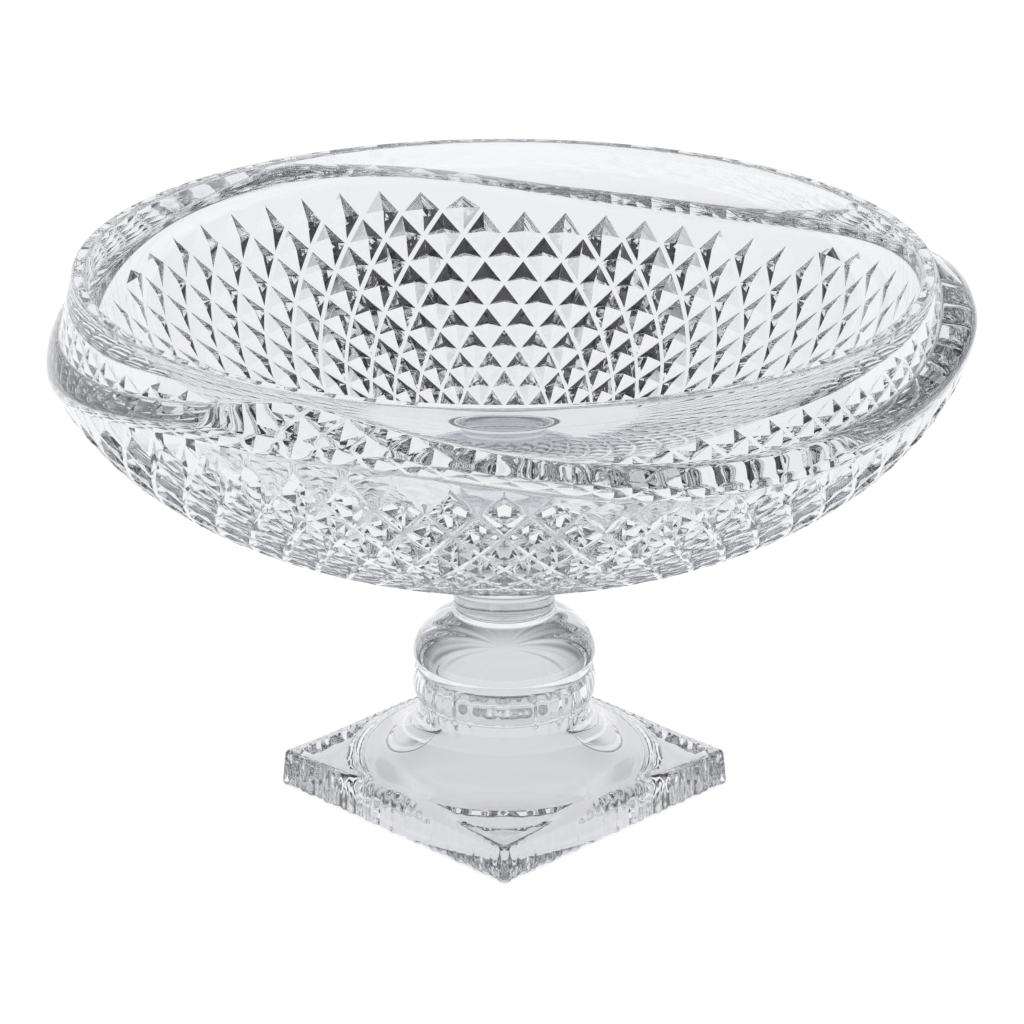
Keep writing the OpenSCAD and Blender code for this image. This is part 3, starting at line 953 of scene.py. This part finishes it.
def wetted_material(settings):
    """A face that the adhesive wets: light runs straight on through it, but for a few faint cloudy spots."""
    material, tree, place = start_material("wetted_crystal")
    cloud = tree.node("ShaderNodeTexNoise", {}, {"Vector": place, "Scale": 160.0, "Detail": 3.0})
    face = tree.node(
        "ShaderNodeBsdfPrincipled",
        {},
        {
            "Base Color": tuple(settings.crystal.bond),
            "Roughness": 0.3,
            "Alpha": cloud * settings.crystal.wetted_cloud,
        },
    )
    tree.node("ShaderNodeOutputMaterial", {}, {"Surface": face})
    return material


def bond_material(settings):
    """Cured clear adhesive with a few faint cloudy spots."""
    look = settings.crystal
    material, tree, place = start_material("cured_bond")
    cloud = tree.node("ShaderNodeTexNoise", {}, {"Vector": place, "Scale": 220.0, "Detail": 2.0})
    bond = tree.node(
        "ShaderNodeBsdfPrincipled",
        {},
        {
            "Base Color": tuple(look.bond),
            "Roughness": cloud * look.bond_cloud,
            "IOR": look.bond_refraction,
            "Transmission Weight": 1.0,
        },
    )
    tree.node("ShaderNodeOutputMaterial", {}, {"Surface": bond})
    return material


def dress(piece, materials, node):
    """Gives a piece its finishes, hangs it under the root body and hides the CAD node it stands for."""
    for material in materials:
        piece.data.materials.append(material)
    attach(piece, "root")
    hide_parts(node)


def glass_finishes(settings):
    """Clear crystal and its wetted faces, which bowl and pedestal share."""
    return [bpy.data.materials.get("clear_crystal") or crystal_material(settings), wetted(settings)]


def wetted(settings):
    return bpy.data.materials.get("wetted_crystal") or wetted_material(settings)


class FRUITBOWL_OT_bowl(bpy.types.Operator):
    """Build the crystal bowl with its diamonds and wave ledge"""

    bl_idname = "fruitbowl.bowl"
    bl_label = "Build Bowl"

    def execute(self, context):
        settings = context.scene.fruit_bowl
        dress(make_bowl(settings), glass_finishes(settings), "bowl")
        return {"FINISHED"}


class FRUITBOWL_OT_bond(bpy.types.Operator):
    """Build the adhesive film between bowl and pedestal"""

    bl_idname = "fruitbowl.bond"
    bl_label = "Build Bond"

    def execute(self, context):
        settings = context.scene.fruit_bowl
        dress(make_film(settings), [bond_material(settings), wetted(settings)], "bond_film")
        return {"FINISHED"}


class FRUITBOWL_OT_pedestal(bpy.types.Operator):
    """Build the crystal pedestal with its square foot"""

    bl_idname = "fruitbowl.pedestal"
    bl_label = "Build Pedestal"

    def execute(self, context):
        settings = context.scene.fruit_bowl
        dress(make_pedestal(settings), glass_finishes(settings), "pedestal")
        return {"FINISHED"}


class FRUITBOWL_OT_stage(bpy.types.Operator):
    """Set the pale floor, the studio light and the camera"""

    bl_idname = "fruitbowl.stage"
    bl_label = "Set Stage"

    # How far inside the foot's corners its painted shadow on the floor starts to fade, and where it ends
    SHADE_FADE, SHADE_END = 5 * MM, 1 * MM
    # Where the walls change, as shares of the way from the front wall to the backdrop
    FRONT_END, SIDE_START, SIDE_END, BACKDROP_START = 0.15, 0.4, 0.8, 0.95
    # How steeply up the ceiling starts, and where it is full
    CEILING_START, CEILING_FULL = 0.4, 0.7

    def execute(self, context):
        stage, scene = context.scene.fruit_bowl.stage, context.scene
        self.make_floor(scene, stage, context.scene.fruit_bowl.foot)
        self.make_light(scene, stage)
        self.make_camera(scene, stage)
        scene.view_settings.view_transform = "Standard"
        scene.view_settings.look = "None"
        scene.cycles.max_bounces = stage.bounces
        scene.cycles.transmission_bounces = stage.bounces
        scene.cycles.glossy_bounces = stage.glossy_bounces
        return {"FINISHED"}

    def make_floor(self, scene, stage, foot):
        half, z = stage.floor_size / 2, -stage.floor_gap
        mesh = bpy.data.meshes.new("pale_floor")
        corners = [(-half, -half, z), (half, -half, z), (half, half, z), (-half, half, z)]
        mesh.from_pydata(corners, [], [(0, 1, 2, 3)])
        floor = bpy.data.objects.new("pale_floor", mesh)
        scene.collection.objects.link(floor)
        material, tree, place = start_material("pale_floor")
        across, along = (
            tree.node("ShaderNodeSeparateXYZ", {}, {"Vector": place}, output=axis) for axis in "XY"
        )
        # Painted shadow: inside the square that the foot stands over, the floor's glow is made darker
        covered = foot.side / math.sqrt(2)
        glow = tree.node(
            "ShaderNodeValToRGB",
            {
                "stops": [
                    (covered - self.SHADE_FADE, tuple(stage.painted_foot_shadow)),
                    (covered - self.SHADE_END, tuple(stage.glow)),
                ]
            },
            {"Fac": abs(across) + abs(along)},
        )
        matt = tree.node(
            "ShaderNodeBsdfPrincipled",
            {},
            {
                "Base Color": tuple(stage.floor),
                "Roughness": 0.9,
                "Emission Color": glow,
                "Emission Strength": stage.floor_glow,
            },
        )
        tree.node("ShaderNodeOutputMaterial", {}, {"Surface": matt})
        mesh.materials.append(material)

    def make_light(self, scene, stage):
        world = bpy.data.worlds.new("studio")
        scene.world = world
        tree = Tree(world)
        direction = tree.node("ShaderNodeTexCoord", output="Generated")
        ahead, rise = (
            tree.node("ShaderNodeSeparateXYZ", {}, {"Vector": direction}, output=axis) for axis in "YZ"
        )
        walls = tree.node(
            "ShaderNodeValToRGB",
            {
                "stops": [
                    (self.FRONT_END, tuple(stage.front_wall)),
                    (self.SIDE_START, tuple(stage.side_wall)),
                    (self.SIDE_END, tuple(stage.side_wall)),
                    (self.BACKDROP_START, tuple(stage.backdrop)),
                ]
            },
            {"Fac": ahead * 0.5 + 0.5},
        )
        overhead = tree.node(
            "ShaderNodeValToRGB",
            {"stops": [(self.CEILING_START, BLACK), (self.CEILING_FULL, WHITE)]},
            {"Fac": rise},
        )
        sky = tree.node(
            "ShaderNodeMix",
            {"data_type": "RGBA"},
            {"Factor": overhead, "A": walls, "B": tuple(stage.ceiling)},
            output="Result",
        )
        light = tree.node("ShaderNodeBackground", {}, {"Color": sky, "Strength": 1.0})
        tree.node("ShaderNodeOutputWorld", {}, {"Surface": light})

    def make_camera(self, scene, stage):
        data = bpy.data.cameras.new("photo_camera")
        data.lens = stage.lens
        data.sensor_width = 36.0
        camera = bpy.data.objects.new("photo_camera", data)
        camera.location = (0.0, -stage.distance, stage.height)
        camera.rotation_euler = (math.pi / 2 - stage.pitch, 0.0, -stage.yaw)
        scene.collection.objects.link(camera)
        scene.camera = camera


class FRUITBOWL_PT_panel(bpy.types.Panel):
    """Buttons that build the fruit bowl piece by piece"""

    bl_idname = "FRUITBOWL_PT_panel"
    bl_label = "Footed Fruit Bowl"
    bl_space_type = "VIEW_3D"
    bl_region_type = "UI"
    bl_category = "Fruit Bowl"

    def draw(self, context):
        for operator in (FRUITBOWL_OT_bowl, FRUITBOWL_OT_bond, FRUITBOWL_OT_pedestal, FRUITBOWL_OT_stage):
            self.layout.operator(operator.bl_idname)


CLASSES = (
    FRUITBOWL_PG_body,
    FRUITBOWL_PG_ledge,
    FRUITBOWL_PG_diamonds,
    FRUITBOWL_PG_film,
    FRUITBOWL_PG_pedestal,
    FRUITBOWL_PG_foot,
    FRUITBOWL_PG_crystal,
    FRUITBOWL_PG_stage,
    FRUITBOWL_PG_settings,
    FRUITBOWL_OT_bowl,
    FRUITBOWL_OT_bond,
    FRUITBOWL_OT_pedestal,
    FRUITBOWL_OT_stage,
    FRUITBOWL_PT_panel,
)


def register():
    for cls in CLASSES:
        bpy.utils.register_class(cls)
    bpy.types.Scene.fruit_bowl = PointerProperty(type=FRUITBOWL_PG_settings)


def unregister():
    del bpy.types.Scene.fruit_bowl
    for cls in reversed(CLASSES):
        bpy.utils.unregister_class(cls)


def main():
    register()
    bpy.ops.fruitbowl.bowl()
    bpy.ops.fruitbowl.bond()
    bpy.ops.fruitbowl.pedestal()
    bpy.ops.fruitbowl.stage()


if __name__ == "__main__":
    main()
